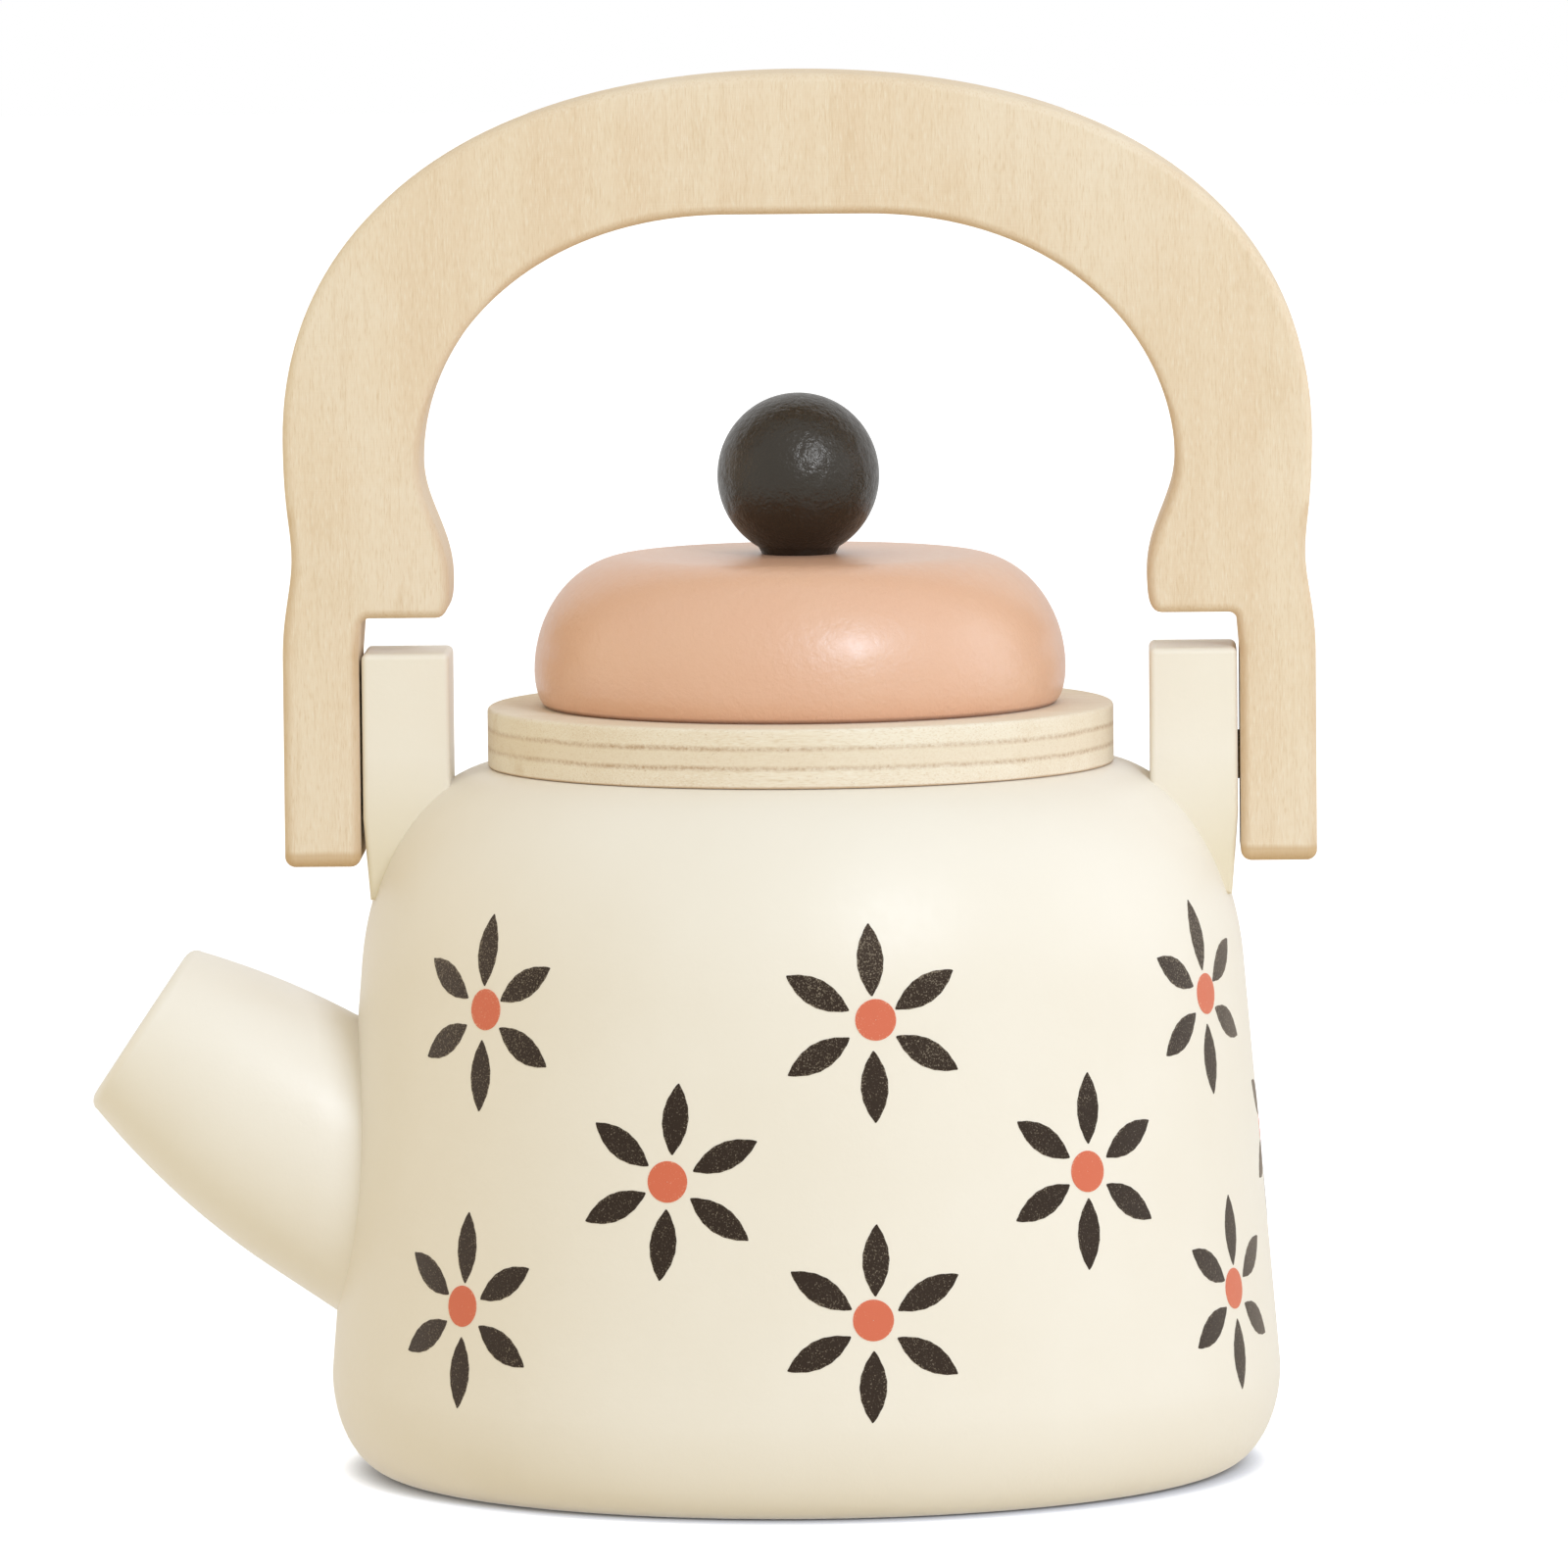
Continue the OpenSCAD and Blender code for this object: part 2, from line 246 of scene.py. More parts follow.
# %% Satin paint
def satin_paint(name, colour, deeper, rough=0.46, coat=0.15, peel=0.05, **more):
    """Paint of one colour that varies slowly towards a deeper one. peel is the depth of
    its skin in millimetres. more may hold the gloss level, its tint, the coat's own
    roughness, and foot=(low, high, share, tone): between these heights in millimetres
    the colour goes to that tone downwards, as painted shade. Below the height sole the
    paint has its own colour again."""
    finish, add = new_finish(name)
    place = add("TexCoord")["Object"]
    cloud = grains(add, place, 38.0, 3.0)
    speck = grains(add, place, 2600.0, 2.0, 0.6)
    drift = spread(add, cloud, 0.32, 0.72)
    dust = spread(add, speck, 0.62, 0.8, 0.0, 0.35)
    toned = blend(add, drift, colour, deeper)
    toned = blend(add, dust, toned, deeper)
    # Painted shade: the colour gets darker towards the bottom between the heights of
    # foot.
    if "foot" in more:
        low, high, share, tone = more["foot"]
        height = add("SeparateXYZ", {0: place})[2]
        foot = spread(add, height, low * MM, high * MM, share, 0.0)
        if "sole" in more:
            above = spread(add, height, more["sole"] * MM, (more["sole"] + 0.06) * MM)
            foot = calc(add, "MULTIPLY", foot, above)
        toned = blend(add, foot, toned, tone)
    skin = grains(add, place, 850.0, 3.0, 0.55)
    fine = calc(add, "MULTIPLY_ADD", speck, 0.35, skin)
    bump = add("Bump", {"Height": fine, "Strength": 0.5, "Distance": peel * MM})[0]
    sockets = {
        "Base Color": toned,
        "Roughness": spread(add, skin, 0.3, 0.7, rough - 0.05, rough + 0.06),
        "Specular IOR Level": more.get("level", 0.5),
        "Specular Tint": more.get("tint", (1, 1, 1, 1)),
        "Coat Weight": coat,
        "Coat Roughness": more.get("coat_rough", rough),
        "Normal": bump,
    }
    add("OutputMaterial", {"Surface": add("BsdfPrincipled", sockets)[0]})
    return finish


cream_paint = satin_paint("cream satin paint", srgb(245, 240, 233), srgb(242, 236, 227))
spout_paint = satin_paint(
    "spout satin paint", srgb(250, 246, 241), srgb(247, 242, 235), rough=0.42, coat=0.4
)
# The posts go tan towards their foot: painted shade low on the block, where the body
# closes it in.
post_paint = satin_paint(
    "post satin paint", srgb(247, 242, 234), srgb(244, 237, 225), coat=0.3,
    foot=(75.0, 88.0, 0.45, srgb(222, 206, 164)),
)
# Just above its seat on the rim the lid goes dark brown: a painted shadow of the gap
# between lid and rim.
pink_paint = satin_paint(
    "dusty pink satin paint", srgb(233, 187, 158), srgb(229, 176, 146), rough=0.45,
    coat=0.4, peel=0.24, level=1.0, tint=(0.75, 0.95, 1.0, 1), coat_rough=0.28,
    foot=(RIM_Z + 0.15, RIM_Z + 0.65, 0.8, srgb(128, 72, 44)), sole=RIM_Z + 0.04,
)
charcoal_paint = satin_paint(
    "charcoal satin paint", srgb(12, 8, 5), srgb(7, 5, 3), rough=0.33, coat=0.0, peel=0.4,
    level=0.72, tint=(1.0, 0.89, 0.75, 1),
)

# %% [markdown]
# ## Plywood
#
# Plywood is a stack of thin sheets, called plies, and each lies across the one before.
# Sawn through, it shows light and dark bands, with a thin dark glue line between them.
# Both the handle (plies stacked along Y) and the rim (stacked along Z) are cut from it.
# In the solid pattern the height in the stack gives the number of the ply, its odd or
# even number gives the way of its grain, and the fraction gives the glue line.

# %% Plywood cut from a stack of plies
def drawn_out(axis, fine, coarse):
    """The scales of a pattern that is fine on two axes and runs on along the third."""
    scales = [fine] * 3
    scales[axis] = coarse
    return tuple(scales)


def plywood(name, stack, start, thickness, plies, tones, **facts):
    """stack is the axis of the stack, 1 or 2, start its lowest place and thickness its
    height in millimetres. tones, 0 to 255, are the colours of the face, of pores and
    cross grain, of glue, of darker bands and of light flecks. facts hold glue, the
    strength of the glue lines, seam, where in a ply they start and are full, and
    outer_glue, the part of their strength that the outer ones keep. They may hold faint,
    the strength of the weakest lines, broken, the part of a line that is left where the
    edge is torn or pitted, worn=True where the mesh has the mark arris_wear_and_shade,
    which darkens the arrises with worn end grain and with painted shade, ends=(top,
    softness, strength, tone) for low ends that have taken up lacquer or glue, up to that
    height, and pins, the height of the pivots, where glue shows round each pin."""
    finish, add = new_finish(name)
    place = add("TexCoord")["Object"]
    axes = add("SeparateXYZ", {0: place})
    ply = thickness * MM / plies
    height = calc(add, "DIVIDE", calc(add, "SUBTRACT", axes[stack], start * MM), ply)
    waver = grains(add, place, 60.0, 4.0, 0.6)
    height = calc(add, "MULTIPLY_ADD", calc(add, "SUBTRACT", waver, 0.5), 0.26, height)
    height = calc(add, "MINIMUM", calc(add, "MAXIMUM", height, 0.3), plies - 0.3)
    number = calc(add, "FLOOR", height)
    part = calc(add, "SUBTRACT", height, number)
    crossing = calc(add, "MODULO", calc(add, "ABSOLUTE", number), 2.0)
    edge = calc(add, "ABSOLUTE", calc(add, "SUBTRACT", part, 0.5))
    glue = spread(add, edge, *facts["seam"])

    along, across = (2, 0) if stack == 1 else (0, 1)
    pores = grains(add, place, 1.0, 2.0, 0.6, drawn_out(along, 3400.0, 120.0))
    end_pores = grains(add, place, 1.0, 2.0, 0.6, drawn_out(across, 3400.0, 120.0))
    flecks = grains(add, place, 1.0, 1.0, 0.5, drawn_out(along, 6500.0, 800.0))
    bands = grains(add, place, 1.0, 3.0, 0.6, drawn_out(along, 240.0, 12.0))
    mineral = grains(add, place, 1.0, 4.0, 0.6, drawn_out(along, 150.0, 34.0))
    patches = grains(add, place, 34.0, 3.0)

    face, cross, dark, shade, light = (srgb(*tone) for tone in tones)
    wood = face
    for pattern, low, high, most, tone in (
        (bands, 0.36, 0.64, 0.7, shade),
        (patches, 0.5, 0.68, 0.6, light),
        (mineral, 0.6, 0.74, 0.55, cross),
        (pores, 0.56, 0.72, 0.3, cross),
        (flecks, 0.56, 0.74, 0.45, cross),
        (flecks, 0.44, 0.28, 0.6, light),
    ):
        wood = blend(add, spread(add, pattern, low, high, 0.0, most), wood, tone)
    other = blend(add, spread(add, end_pores, 0.52, 0.72, 0.0, 0.45), shade, cross)
    wood = blend(add, calc(add, "MULTIPLY", crossing, 0.6), wood, other)
    strong = spread(add, patches, 0.35, 0.65, facts["glue"], facts.get("faint", 0.2))
    lines = calc(add, "MULTIPLY", glue, strong)
    core = calc(add, "ABSOLUTE", calc(add, "SUBTRACT", height, plies / 2))
    strong = spread(add, core, 0.7, 1.0, 1.0, facts["outer_glue"])
    lines = calc(add, "MULTIPLY", lines, strong)
    torn = grains(add, place, 1900.0, 3.0, 0.7)
    if "broken" in facts:
        whole = spread(add, torn, 0.36, 0.62, 1.0, facts["broken"])
        lines = calc(add, "MULTIPLY", lines, whole)
        wood = blend(add, spread(add, torn, 0.64, 0.72, 0.0, 0.5), wood, light)
        wood = blend(add, spread(add, torn, 0.33, 0.27, 0.0, 0.55), wood, dark)
    wood = blend(add, lines, wood, dark)
    # Darker arrises: worn end grain at the legs' ends, and painted shade beside the
    # posts.
    if facts.get("worn"):
        arris_mark = add("Attribute", attribute_name="arris_wear_and_shade")["Fac"]
        arris_darkening = calc(add, "MULTIPLY", arris_mark, spread(add, waver, 0.3, 0.7, 0.35, 0.8))
        wood = blend(add, arris_darkening, wood, srgb(196, 158, 112))
    if "ends" in facts:
        top, soft, strength, tone = facts["ends"]
        uneven = calc(add, "MULTIPLY", calc(add, "SUBTRACT", waver, 0.5), 2 * soft * MM)
        level = calc(add, "ADD", axes[2], uneven)
        band = spread(add, level, (top - soft) * MM, top * MM, strength, 0.0)
        wood = blend(add, band, wood, srgb(*tone))
    if "pins" in facts:
        z = calc(add, "SUBTRACT", axes[2], facts["pins"] * MM)
        y_squared = calc(add, "MULTIPLY", axes[1], axes[1])
        far = calc(add, "SQRT", calc(add, "MULTIPLY_ADD", z, z, y_squared))
        off = calc(add, "ABSOLUTE", calc(add, "SUBTRACT", far, (PIN_R + 0.05) * MM))
        ring = spread(add, off, 0.04 * MM, 0.16 * MM, 0.8, 0.0)
        sideways = calc(add, "ABSOLUTE", axes[0])
        outside = calc(add, "GREATER_THAN", sideways, (LEG_OUT - 0.6) * MM)
        wood = blend(add, calc(add, "MULTIPLY", ring, outside), wood, dark)
    relief = calc(add, "MULTIPLY_ADD", glue, -0.8, calc(add, "ADD", pores, end_pores))
    bump = add("Bump", {"Height": relief, "Strength": 0.35, "Distance": 0.06 * MM})[0]
    sockets = {
        "Base Color": wood, "Roughness": spread(add, pores, 0.3, 0.7, 0.5, 0.66),
        "Specular IOR Level": 0.35, "Normal": bump,
    }
    add("OutputMaterial", {"Surface": add("BsdfPrincipled", sockets)[0]})
    return finish


handle_wood = plywood(
    "handle birch plywood", 1, -HANDLE_T / 2, HANDLE_T, 11,
    ((238, 221, 198), (219, 193, 159), (150, 112, 76), (233, 212, 186), (243, 231, 214)),
    worn=True, pins=PIVOT_Z, ends=(PIVOT_Z - LEG_DOWN + 2, 0.6, 0.7, (206, 174, 132)),
    glue=0.6, seam=(0.43, 0.49), outer_glue=0.8,
)

# %% [markdown]
# ## The body
#
# On the real kettle the body is turned on a lathe, so its shape is one profile carried
# round an axis. A cylinder with a bevel would miss it: the side tapers, and both
# roundings are parts of ellipses. The same profile goes on over the top face and down
# the hollow, so that the inside shows when the lid is off. The hollow is left as bare
# wood, which is a second finish on the same mesh.

# %% Sizes and the body's profile
BELLY_R, TAPER = 58.2, 6.2
BASE_RUN, BASE_RISE = 7.3, 12.0
SHOULDER_RUN, SHOULDER_DROP = 15.0, 24.0
HOLLOW_R, FLOOR_T, HOLLOW_ROUND = 33.0, 12.0, 2.0


def side_radius(z):
    """Radius of the straight taper at the height z."""
    return BELLY_R - TAPER * (z - BASE_RISE) / (BODY_H - BASE_RISE)


def body_radius(z):
    """Radius of the outside at the height z: a quarter of an ellipse at the base, the
    taper, and the taper less a quarter of an ellipse at the shoulder."""
    low = np.clip(1 - z / BASE_RISE, 0, 1)
    high = np.clip(1 - (BODY_H - z) / SHOULDER_DROP, 0, 1)
    foot = BELLY_R - BASE_RUN * (1 - np.sqrt(1 - low**2))
    side = side_radius(z) - SHOULDER_RUN * (1 - np.sqrt(1 - high**2))
    return np.where(z < BASE_RISE, foot, side)


def body_profile():
    """From the middle of the base, out and up, over the top face and down the hollow."""
    base = quarter((BELLY_R - BASE_RUN, BASE_RISE), BASE_RUN, BASE_RISE, -90, 0, 22)
    side_z = np.linspace(BASE_RISE, BODY_H - SHOULDER_DROP, 24)[1:-1]
    bend = np.radians(np.linspace(0, 90, 36))
    shoulder_z = BODY_H - SHOULDER_DROP * (1 - np.sin(bend))
    shoulder_r = side_radius(shoulder_z) - SHOULDER_RUN * (1 - np.cos(bend))
    shoulder = np.c_[shoulder_r, shoulder_z]
    corner, low_corner = (HOLLOW_R, BODY_H), (HOLLOW_R - HOLLOW_ROUND, FLOOR_T)
    low_z = FLOOR_T + HOLLOW_ROUND
    return joined(
        [[0, 0]],
        straight((0, 0), base[0], 5),
        base,
        np.c_[side_radius(side_z), side_z],
        shoulder,
        straight(shoulder[-1], corner, 2),
        [corner],
        straight(corner, (HOLLOW_R, low_z), 12),
        quarter((low_corner[0], low_z), HOLLOW_ROUND, HOLLOW_ROUND, 0, -90, 6),
        straight(low_corner, (0, FLOOR_T), 5),
        [[0, FLOOR_T]],
    )


# %% Bare wood for the hollow
def bare_wood(name, light, dark, ring=420.0, stretch=(1, 1, 0.06)):
    """Turned wood with its grain upright: rings round a heart that lies off the axis,
    and fine pores drawn out along the grain."""
    finish, add = new_finish(name)
    place = add("TexCoord")["Object"]
    shifted = add("Mapping", {"Vector": place, "Location": (0.021, 0.034, 0.0)})[0]
    warped = add("Mapping", {"Vector": shifted, "Scale": stretch})[0]
    wave = add(
        "TexWave",
        {"Vector": warped, "Scale": ring, "Distortion": 2.2, "Detail": 3.0,
         "Detail Scale": 1.2},
        wave_type="RINGS", rings_direction="Z",
    )["Fac"]
    pores = grains(add, place, 1.0, 2.0, 0.6, (3000.0, 3000.0, 160.0))
    wood = blend(add, calc(add, "MULTIPLY", wave, 0.7), light, dark)
    wood = blend(add, spread(add, pores, 0.56, 0.75, 0.0, 0.5), wood, dark)
    bump = add("Bump", {"Height": pores, "Strength": 0.4, "Distance": 0.05 * MM})[0]
    sockets = {
        "Base Color": wood, "Roughness": 0.62, "Specular IOR Level": 0.3, "Normal": bump,
    }
    add("OutputMaterial", {"Surface": add("BsdfPrincipled", sockets)[0]})
    return finish


hollow_wood = bare_wood("bare turned wood", srgb(232, 206, 165), srgb(212, 178, 132))

# %% Make the body
profile = body_profile()
points, faces = turned(profile)
over_the_top = np.arange(len(profile) - 3) >= profile[:, 1].argmax()
inside = over_the_top & (profile[1:-2, 0] <= HOLLOW_R + 0.01)
bare = joined(np.repeat(inside, FINE), np.zeros(FINE, bool), np.ones(FINE, bool))
make_piece(
    "kettle_body", points, faces, "pot", [cream_paint, hollow_wood],
    "body_paint", ["body"], finish_of=bare,
)

# %% [markdown]
# ## The printed flowers
#
# The pattern is a plain six-petal daisy, stamped on the side in three rings: charcoal
# petals first, then a dot in a second colour, which sits a little out of register. A
# printed layer has crisp edges, so each petal is a thin film of ink on the body's
# surface, 0.04 mm proud, with its lower side just under that surface.
#
# A petal is a lens: at the share a of its length, its half-width is W * 4a(1 - a). A
# place (u, v) on the flat stamp goes to the angle u / r round the axis and the height
# v, which is what a soft printing pad does.

# %% Rings of flowers
PETAL_START, PETAL_END, PETAL_W, DOT_R, INK, SUNK = 3.15, 11.88, 1.63, 2.47, 0.04, 0.15
# height of the ring, angle of its middle, angle between flowers, how many flowers,
# turn of a flower, and the dot's step to the right and up
flower_rings = [
    (59.8, 91.8, 54.3, 6, 0.8, 0.40, 0.42),
    (40.9, 92.9, 54.3, 5, -4.2, -0.17, 0.00),
    (24.1, 92.6, 55.0, 6, -0.6, -0.20, 0.44),
]
# flowers stamped a little off: number, and what is added to height, angle and turn
stamped_off = [
    (1, -0.11, -0.49, 0.0), (2, -0.32, 0.0, 0.0), (7, -0.16, 0.0, 0.0),
    (12, 0.0, -0.77, -2.5), (13, -0.59, 1.37, 0.0),
]


def flower_places():
    """One row per flower: height, angle, turn and the dot's two steps."""
    rows = []
    for height, middle, step, count, turn, right, up in flower_rings:
        k = np.arange(count) - (count - 1) / 2
        small = np.sin(k * 2.3 + height)
        rows.append(
            np.c_[
                np.full(count, height), middle + step * k, turn + 0.8 * small,
                right + 0.06 * small, up - 0.04 * small,
            ]
        )
    rows = joined(*rows)
    for number, *added in stamped_off:
        rows[number, :3] += added
    return rows


def on_body(u, v, height, angle, proud):
    """The stamp's (u, v) round a flower at that height and angle, laid on the body. The
    angle counts from the front towards the right, as the camera sees it."""
    z = height + v
    a = np.radians(angle) + u / body_radius(np.asarray(height))
    r = body_radius(z) + proud
    return np.stack([r * np.sin(a), -r * np.cos(a), z], -1)


def film(top, under, rows, columns, looped):
    """Closed films from their upper and lower points, of shape (flowers, rows, columns,
    3): the upper grid, the lower one turned over, and a wall round each edge. A looped
    film is a ring, with an outer and an inner edge."""
    size = rows * columns
    one = grid_quads(rows, columns, loop_columns=looped)[:, ::-1]
    n = np.arange(size).reshape(rows, columns)
    if looped:
        edges = [n[-1], n[0][::-1]]
    else:
        edges = [joined(n[:-1, 0], n[-1, :-1], n[:0:-1, -1], n[0, :0:-1])]
    walls = []
    for edge in edges:
        on = np.roll(edge, -1)
        walls.append(np.stack([edge + size, on + size, on, edge], -1))
    one = joined(one, one[:, ::-1] + size, *walls)
    points = np.concatenate([top.reshape(-1, size, 3), under.reshape(-1, size, 3)], 1)
    faces = (one[None] + np.arange(len(points))[:, None, None] * 2 * size).reshape(-1, 4)
    return points.reshape(-1, 3), faces


# %% Charcoal petals
places = flower_places()
length = np.linspace(0.012, 0.988, 25)
width = np.linspace(-1, 1, 7)
a, b = np.meshgrid(length, width, indexing="ij")
nicks = 0.03 * np.sin(37 * a + 5 * b) * np.abs(b) ** 3
reach = PETAL_START + (PETAL_END - PETAL_START) * a
side = PETAL_W * 4 * a * (1 - a) * b + nicks * b
spokes = np.radians(np.arange(6) * 60.0 + 90.0)
turn = spokes[None, :] + np.radians(places[:, 2:3])
cos, sin = np.cos(turn)[..., None, None], np.sin(turn)[..., None, None]
u, v = reach * cos - side * sin, reach * sin + side * cos
flower_z, flower_angle = (places[:, n, None, None, None] for n in (0, 1))
top, under = (on_body(u, v, flower_z, flower_angle, proud) for proud in (INK, -SUNK))
petals, petal_faces = film(top, under, *a.shape, looped=False)
petal_rim = np.broadcast_to(np.abs(b), (len(places) * 6 * 2, *b.shape))
print("petals:", len(places) * 6, "on", len(places), "flowers")

# %% Dots in the middle of the flowers
radius = np.array([0.02, 0.35, 0.6, 0.8, 0.92, 1.0])
circle = np.linspace(0, 2 * np.pi, 40, endpoint=False)
rr, aa = np.meshgrid(radius * DOT_R, circle, indexing="ij")
u = rr * np.cos(aa) + places[:, 3, None, None]
v = rr * np.sin(aa) + places[:, 4, None, None]
flower_z, flower_angle = (places[:, n, None, None] for n in (0, 1))
heights = (INK + 0.02, -SUNK)
top, under = (on_body(u, v, flower_z, flower_angle, proud) for proud in heights)
dots, dot_faces = film(top, under, *rr.shape, looped=True)
dot_rim = np.broadcast_to(rr / DOT_R, (len(places) * 2, *rr.shape))

# %% [markdown]
# The ink lies thin over the paint's skin. Where the skin has a pit the ink misses it,
# so the petals are peppered with tiny lighter specks, and more of them towards the rim
# of a petal, where the pad pressed less.

# %% Printing ink
def printing_ink(name, ink, missed, tint, shown):
    """Ink with specks where the paint below shows. tint is its gloss's colour. shown
    moves how many specks there are, and the upper ring has more of them."""
    finish, add = new_finish(name)
    place = add("TexCoord")["Object"]
    rim = add("Attribute", attribute_name="rim")["Fac"]
    speck = grains(add, place, 4800.0, 2.0, 0.7)
    cloud = grains(add, place, 240.0, 2.0)
    near_rim = calc(add, "MULTIPLY", calc(add, "POWER", rim, 8.0), 0.12)
    height = add("SeparateXYZ", {0: place})[2]
    bare = calc(add, "ADD", calc(add, "MULTIPLY_ADD", cloud, 0.14, speck), near_rim)
    bare = calc(add, "ADD", bare, spread(add, height, 45 * MM, 65 * MM, 0.0, 0.05))
    miss = spread(add, bare, shown, shown + 0.12, 0.0, 0.75)
    colour = blend(add, miss, ink, missed)
    skin = grains(add, place, 850.0, 3.0, 0.55)
    bump = add("Bump", {"Height": skin, "Strength": 0.5, "Distance": 0.06 * MM})[0]
    sockets = {
        "Base Color": colour, "Roughness": 0.5, "Normal": bump,
        "Specular IOR Level": 0.36, "Specular Tint": (*tint, 1),
        "Sheen Weight": 0.36, "Sheen Roughness": 0.4, "Sheen Tint": (1.0, 0.84, 0.7, 1),
    }
    add("OutputMaterial", {"Surface": add("BsdfPrincipled", sockets)[0]})
    return finish


petal_ink = printing_ink(
    "charcoal printing ink", srgb(34, 28, 26), srgb(150, 140, 126), (1, 0.7, 0.48), 0.665
)
dot_ink = printing_ink(
    "coral printing ink", srgb(220, 114, 86), srgb(240, 190, 165), (1, 1, 1), 0.74
)
for name, points, quads, ink, rim in (
    ("printed_petals", petals, petal_faces, petal_ink, petal_rim),
    ("printed_dots", dots, dot_faces, dot_ink, dot_rim),
):
    make_piece(name, points, [quads], "pot", [ink], marks=("rim", rim))

# %% [markdown]
# ## The plywood rim
#
# A ring of 7 mm plywood is glued on the body's top face. It is turned too, but its
# profile is a closed loop, so it needs no poles. Three plies show on its edge. A lathe
# tears plywood where it meets end grain, so the glue lines are broad, soft and broken,
# and the edge has light and dark pits. A little glue shows along its foot.

# %% Make the rim
COLLAR_R, MOUTH_R, ARRIS, LOW_ARRIS, INNER_ARRIS = 38.3, 27.0, 0.5, 0.2, 0.4
rim_wood = plywood(
    "rim birch plywood", 2, BODY_H, COLLAR_T, 3,
    ((242, 231, 214), (216, 194, 163), (166, 122, 76), (236, 222, 202), (248, 242, 230)),
    glue=0.75, faint=0.4, seam=(0.31, 0.47), outer_glue=1.0, broken=0.3,
    ends=(BODY_H + 0.3, 0.2, 0.6, (176, 132, 80)),
)
low = (COLLAR_R - LOW_ARRIS, BODY_H + LOW_ARRIS)
high = (COLLAR_R - ARRIS, RIM_Z - ARRIS)
inner = (MOUTH_R + INNER_ARRIS, RIM_Z - INNER_ARRIS)
profile = joined(
    [[MOUTH_R, BODY_H]],
    straight((MOUTH_R, BODY_H), (low[0], BODY_H), 4),
    quarter(low, LOW_ARRIS, LOW_ARRIS, -90, 0, 6),
    straight((COLLAR_R, low[1]), (COLLAR_R, high[1]), 8),
    quarter(high, ARRIS, ARRIS, 0, 90, 6),
    straight((high[0], RIM_Z), (inner[0], RIM_Z), 4),
    quarter(inner, INNER_ARRIS, INNER_ARRIS, 90, 180, 5),
    straight((MOUTH_R, inner[1]), (MOUTH_R, BODY_H), 8),
)
points, faces = turned(profile, looped=True)
make_piece("rim_ring", points, faces, "pot", [rim_wood], "birch_plywood", ["collar"])

# %% [markdown]
# ## The spout
#
# The spout is a small barrel, turned on its own axis, and its end is cut to the round
# of the body. Its surface has two parameters: the angle round its axis, and the share
# of the way from the mouth to the body. How far that way is differs with the angle, and
# halving an interval again and again finds it for all angles at once. A hole is drilled
# in the mouth for the pouring.

# %% The barrel and its saddle
TILT, MOUTH = np.radians(34), (-81.4, 0, 54.7)
SPOUT_MOUTH_R, SPOUT_BASE_R, SWELL = 11.2, 16.0, 30.0
BORE_R, BORE_L, BORE_ARRIS, MOUTH_ARRIS, INNER_END = 4.0, 15.0, 0.4, 1.4, 38.0
NEAREST, FARTHEST = 5.0, 46.0  # where the search for the saddle starts
outward = np.array([-np.cos(TILT), 0, np.sin(TILT)])
sideways = np.array([0.0, 1.0, 0.0])
upward = np.cross(outward, sideways)


def barrel_radius(s):
    """Radius at the distance s from the mouth: it swells with a falling slope, and is
    even from SWELL on."""
    slope = np.clip(1 - s / SWELL, 0, 1)
    return SPOUT_BASE_R - (SPOUT_BASE_R - SPOUT_MOUTH_R) * slope**2


def along_spout(s, r, angle):
    """The point at the distance s behind the mouth and r from the spout's axis."""
    across = np.cos(angle)[..., None] * sideways + np.sin(angle)[..., None] * upward
    return np.array(MOUTH) - s[..., None] * outward + r[..., None] * across


def saddle_distance(angle, sunk=0.3):
    """Distance from the mouth at which the barrel meets the body, by halving. The
    barrel is let in by sunk, so that no gap shows."""
    near, far = np.full_like(angle, NEAREST), np.full_like(angle, FARTHEST)
    for _ in range(40):
        middle = (near + far) / 2
        p = along_spout(middle, barrel_radius(middle), angle)
        out = np.hypot(p[:, 0], p[:, 1]) > body_radius(p[:, 2]) - sunk
        near, far = np.where(out, middle, near), np.where(out, far, middle)
    return middle


# %% Make the spout
columns = 224
angle = 2 * np.pi * np.arange(columns) / columns
reach = saddle_distance(angle)
print("saddle:", reach.min().round(1), "to", reach.max().round(1), "mm behind the mouth")
front = joined(
    [[BORE_L, BORE_R]],
    straight((BORE_L, BORE_R), (BORE_ARRIS, BORE_R), 5),
    [[BORE_ARRIS, BORE_R], [0.12, BORE_R + 0.12], [0, BORE_R + BORE_ARRIS]],
    straight((0, BORE_R + BORE_ARRIS), (0, SPOUT_MOUTH_R - MOUTH_ARRIS), 4),
)
turn_in = np.radians(np.linspace(90, 0, 8))
arris_run = barrel_radius(MOUTH_ARRIS) - SPOUT_MOUTH_R + MOUTH_ARRIS
arris_r = SPOUT_MOUTH_R - MOUTH_ARRIS + arris_run * np.cos(turn_in)
front = joined(front, np.c_[MOUTH_ARRIS * (1 - np.sin(turn_in)), arris_r])
share = np.linspace(0, 1, 46)[1:, None]
barrel_s = MOUTH_ARRIS + share * (reach - MOUTH_ARRIS)
flat = (len(front), columns)
s = joined(np.broadcast_to(front[:, :1], flat), barrel_s)
r = joined(np.broadcast_to(front[:, 1:], flat), barrel_radius(barrel_s))
rings = along_spout(s, r, np.broadcast_to(angle, s.shape)).reshape(-1, 3)
ends = along_spout(np.array([BORE_L, INNER_END]), np.zeros(2), np.zeros(2))
faces = [grid_quads(len(s), columns, loop_columns=True), end_fans(len(s), columns)]
make_piece(
    "spout_barrel", joined(rings, ends), faces, "pot", [spout_paint],
    "spout_paint", ["spout"],
)

